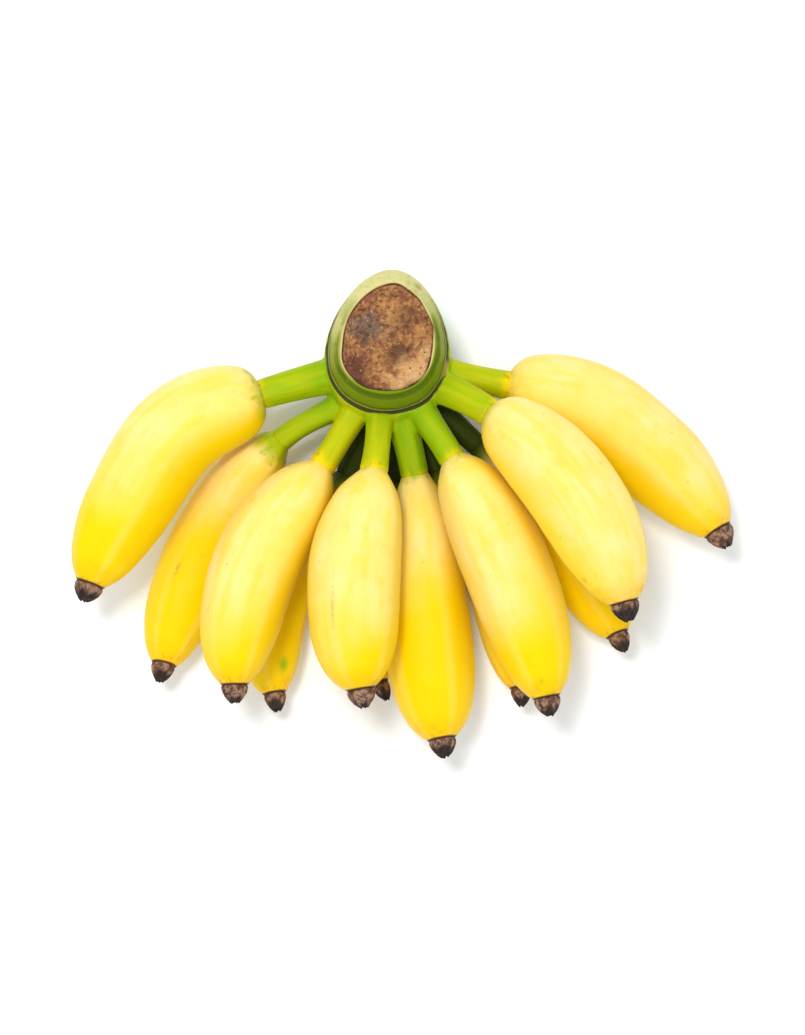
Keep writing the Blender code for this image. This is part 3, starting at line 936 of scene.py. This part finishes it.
FRONT_GREEN = (0.155, 0.23, 0.004, 1.0)
SIDE_GREEN = (0.26, 0.29, 0.030, 1.0)
LIP_GREEN = (0.33, 0.38, 0.05, 1.0)
FOLD_SHADE_GREEN = (0.055, 0.085, 0.004, 1.0)
RIM_CREAM = (0.60, 0.47, 0.20, 1.0)
SCAR_TAN = (0.42, 0.24, 0.11, 1.0)
NOTCH_GREY = (0.25, 0.235, 0.09, 1.0)
stump_skin, tree, shader = new_material("stump_skin")
skin = read(tree, "skin", "Vector")
axes = add(tree, "SeparateXYZ", {"Vector": skin})
drift = lay(tree, cloudy_patches, vector=skin, size=9 * MM, start=0.3, end=0.7, detail=4.0)
# Painted light and shade: the stump is paler at its back, toward the lamp, and at its left, and darker green
# at its front.
to_back = figure(tree, "ADD", axes.outputs["Y"], between(tree, drift["Mask"], -5 * MM, 5 * MM))
to_back = figure(tree, "ADD", to_back, times(tree, axes.outputs["X"], -0.25))
tone = over(tree, spread(tree, to_back, -16 * MM, 2 * MM), FRONT_GREEN, SIDE_GREEN)
tone = over(tree, spread(tree, to_back, 4 * MM, 24 * MM), tone, LIT_BACK_GREEN)
in_front = spread(tree, to_back, 16 * MM, -4 * MM)
# Across the front, painted shade darkens the fold under the rim, and the lip above the scar is a lighter
# green.
for band_z, gone, full, colour in (
    (FOLD_Z, 1.8 * MM, 0.6 * MM, FOLD_SHADE_GREEN), (LIP_Z, 1.0 * MM, 0.6 * MM, LIP_GREEN)
):
    from_band = figure(tree, "ABSOLUTE", figure(tree, "SUBTRACT", axes.outputs["Z"], band_z))
    band = times(tree, spread(tree, from_band, gone, full), in_front)
    tone = over(tree, band, tone, colour, 0.75)
streaks = lay(tree, fibre_streaks, vector=skin, width=1.6 * MM, length=9 * MM, start=0.45, end=0.75)
tone = over(tree, streaks["Mask"], tone, FRONT_GREEN, 0.25)
# The cream of the cut edge shows round the rim, but not at its front.
not_front = spread(tree, axes.outputs["Y"], -15 * MM, -9 * MM)
cream = times(tree, spread(tree, read(tree, "rim"), 0.10, 0.45), not_front)
tone = over(tree, cream, tone, RIM_CREAM)
from_notch = add(tree, "VectorMath", {0: skin, 1: NOTCH}, operation="DISTANCE")
notch_cover = spread(tree, from_notch.outputs["Value"], 3.6 * MM, 1.2 * MM, 0.0, 0.75)
tone = over(tree, notch_cover, tone, NOTCH_GREY)
# The scar has a second, thinner line above it, and one dry tan flake at the right.
wander = between(tree, drift["Mask"], -0.35 * MM, 0.35 * MM)
wavy_height = figure(tree, "ADD", axes.outputs["Z"], wander)
scar = spread(tree, wavy_height, SCAR_Z + 1.3 * MM, SCAR_Z + 0.9 * MM)
from_second = figure(tree, "ABSOLUTE", figure(tree, "SUBTRACT", wavy_height, SECOND_SCAR_Z))
scar = figure(tree, "MAXIMUM", scar, spread(tree, from_second, 0.7 * MM, 0.2 * MM, 0.0, 0.75))
scar = times(tree, scar, spread(tree, axes.outputs["Y"], 22 * MM, 10 * MM))
from_flake = add(tree, "VectorMath", {0: skin, 1: FLAKE}, operation="DISTANCE")
flaky = spread(tree, from_flake.outputs["Value"], 5.5 * MM, 2.5 * MM)
tone = over(tree, scar, tone, over(tree, flaky, SCAR_BROWN, SCAR_TAN))
height = figure(tree, "ADD", streaks["Mask"], lay(tree, skin_grain, vector=skin, size=0.7 * MM)["Height"])
set_inputs(tree, shader, {
    "Base Color": tone, "Roughness": between(tree, drift["Mask"], 0.45, 0.58),
    "Specular IOR Level": SKIN_SHINE,
    "Normal": relief(tree, height, strength=0.35, distance=0.1 * MM),
})
stump.data.materials.append(stump_skin)
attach(stump, "root")
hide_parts("crown")


# The cut face is the sawn end of the stem after it has dried: a thin corky crust, rough, sunken in the
# middle and curled up at its edge.

CUT_RINGS, CUT_SIDES = 130, 300
CUT_EDGE_Z = 63.9 * MM
CUT_EDGE_GAP = 0.15 * MM
PATCH_Z = 63.5 * MM
CUT_SUNK, CUT_CURL = 1.3 * MM, 0.35 * MM
turns = full_turn(CUT_SIDES)
share = np.linspace(1, 0.004, CUT_RINGS)
reach = (cut_reach(turns) - CUT_EDGE_GAP)[None, :] * share[:, None]
rings = np.zeros((CUT_RINGS, CUT_SIDES, 3))
rings[:, :, :2] = CUT_MIDDLE + reach[:, :, None] * unit_circle(turns)[:, :2]
rough_height = 0.70 * MM * noise_over(rings, 8 * MM, 1)
rough_height += 0.40 * MM * noise_over(rings, 2.6 * MM, 2)
rough_height += 0.22 * MM * noise_over(rings, 0.9 * MM, 3)
dish = CUT_CURL * bell(share, 0.94, 0.04) - CUT_SUNK * (1 - share**2)
roughness = rough_height.reshape(reach.shape) * np.clip((1 - share) * 12, 0, 1)[:, None]
rings[:, :, 2] = CUT_EDGE_Z + dish[:, None] + roughness
underside = rings[:1].copy()
underside[:, :, 2] = RECESS_FLOOR - 0.6 * MM
rings = np.concatenate((underside, rings))
crust = skin_from_rings("cut_crust", rings)
note_rings(crust.data, "skin", rings, rings[[0, -1]].mean(axis=1))
edge = np.concatenate(([1.0], share))
note_rings(crust.data, "edge", np.repeat(edge[:, None], CUT_SIDES, axis=1), (1, 0))

CORK_BROWN = (0.26, 0.105, 0.040, 1.0)
CORK_ORANGE = (0.54, 0.26, 0.085, 1.0)
CORK_TAN = (0.63, 0.39, 0.18, 1.0)
CORK_PURPLE = (0.13, 0.045, 0.025, 1.0)
CORK_RED = (0.28, 0.085, 0.045, 1.0)
CORK_GREY = (0.165, 0.115, 0.080, 1.0)
CORK_DARK = (0.065, 0.028, 0.016, 1.0)
cork, tree, shader = new_material("dried_cut")
skin = read(tree, "skin", "Vector")
wavy = lay(tree, cloudy_patches, vector=skin, size=6 * MM, start=0.25, end=0.75, detail=5.0)
wavy_reach = between(tree, wavy["Mask"], -3 * MM, 3 * MM)


def patch_at(x, y, full, gone):
    """A patch with a ragged border round a place on the cut, in millimetres."""
    away = add(tree, "VectorMath", {0: skin, 1: (x * MM, y * MM, PATCH_Z)}, operation="DISTANCE")
    return spread(tree, figure(tree, "ADD", away.outputs["Value"], wavy_reach), gone * MM, full * MM)


grainy = lay(tree, cloudy_patches, vector=skin, size=1.7 * MM, start=0.42, end=0.60, detail=6.0)
tone = over(tree, grainy["Mask"], CORK_BROWN, CORK_ORANGE, 0.55)
# The last number is how strongly the patch covers.
for x, y, full, gone, colour, cover in (
    (8.0, -8.5, 1.0, 7.0, CORK_ORANGE, 0.70), (15.0, 5.0, 1.0, 6.0, CORK_ORANGE, 0.50),
    (2.0, 15.0, 1.0, 6.0, CORK_ORANGE, 0.85), (3.5, 4.0, 1.0, 6.0, CORK_ORANGE, 0.60),
    (-4.0, -8.0, 1.0, 6.0, CORK_ORANGE, 0.60), (-14.5, 4.0, 0.5, 5.0, CORK_ORANGE, 0.85),
    (10.0, 12.0, 2.0, 8.0, CORK_DARK, 0.50), (4.0, 21.0, 1.0, 6.0, CORK_RED, 0.60),
    (5.0, -1.5, 2.0, 6.5, CORK_DARK, 0.75), (-6.5, 19.0, 1.0, 5.5, CORK_RED, 0.80),
    (-8.5, 8.0, 3.0, 8.5, CORK_GREY, 0.90), (-9.5, 4.0, 1.0, 5.0, CORK_DARK, 0.55),
    (-14.0, -6.0, 2.0, 7.0, CORK_RED, 0.70), (-13.0, -11.0, 3.5, 9.0, CORK_PURPLE, 0.92),
    (-8.5, -14.0, 2.0, 6.0, CORK_PURPLE, 0.80), (-15.0, 0.0, 1.0, 4.0, CORK_DARK, 0.60),
):
    tone = over(tree, patch_at(x, y, full, gone), tone, colour, cover)
mottle = lay(tree, cloudy_patches, vector=skin, size=4.5 * MM, start=0.42, end=0.70, detail=6.0)
tone = over(tree, mottle["Mask"], tone, CORK_PURPLE, 0.60)
pits = lay(tree, cloudy_patches, vector=skin, size=1.8 * MM, start=0.48, end=0.68, detail=6.0)
tone = over(tree, pits["Mask"], tone, CORK_DARK, 0.75)
lights = lay(tree, cloudy_patches, vector=skin, size=1.6 * MM, start=0.60, end=0.70, detail=6.0)
tone = over(tree, lights["Mask"], tone, CORK_TAN, 0.55)
# The lower right is the smoothest and lightest.
smooth = figure(tree, "MAXIMUM", patch_at(12.5, -11.0, 3.0, 9.0), patch_at(16.5, -3.0, 1.0, 7.0))
smooth = figure(tree, "MAXIMUM", smooth, patch_at(4.0, -16.0, 1.0, 6.0))
light_cork = over(tree, between(tree, grainy["Mask"], 0.1, 0.7), CORK_TAN, CORK_ORANGE)
tone = over(tree, smooth, tone, light_cork, 0.80)
dots = lay(tree, small_specks, vector=skin, spacing=2.1 * MM, size=0.20, share=0.40)
tone = over(tree, dots["Mask"], tone, CORK_DARK, 0.9)
near_edge = spread(tree, read(tree, "edge"), 0.955, 0.985)
burnt_edge = times(tree, near_edge, spread(tree, wavy["Mask"], 0.2, 0.8, 0.35, 1.0))
tone = over(tree, burnt_edge, tone, CORK_DARK)
height = figure(tree, "ADD", grainy["Mask"], lay(tree, skin_grain, vector=skin, size=0.6 * MM)["Height"])
set_inputs(tree, shader, {
    "Base Color": tone, "Roughness": between(tree, pits["Mask"], 0.72, 0.95),
    "Specular IOR Level": 0.15, "Normal": relief(tree, height, strength=0.7, distance=0.3 * MM),
})
crust.data.materials.append(cork)
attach(crust, "root")
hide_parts("cut_face")
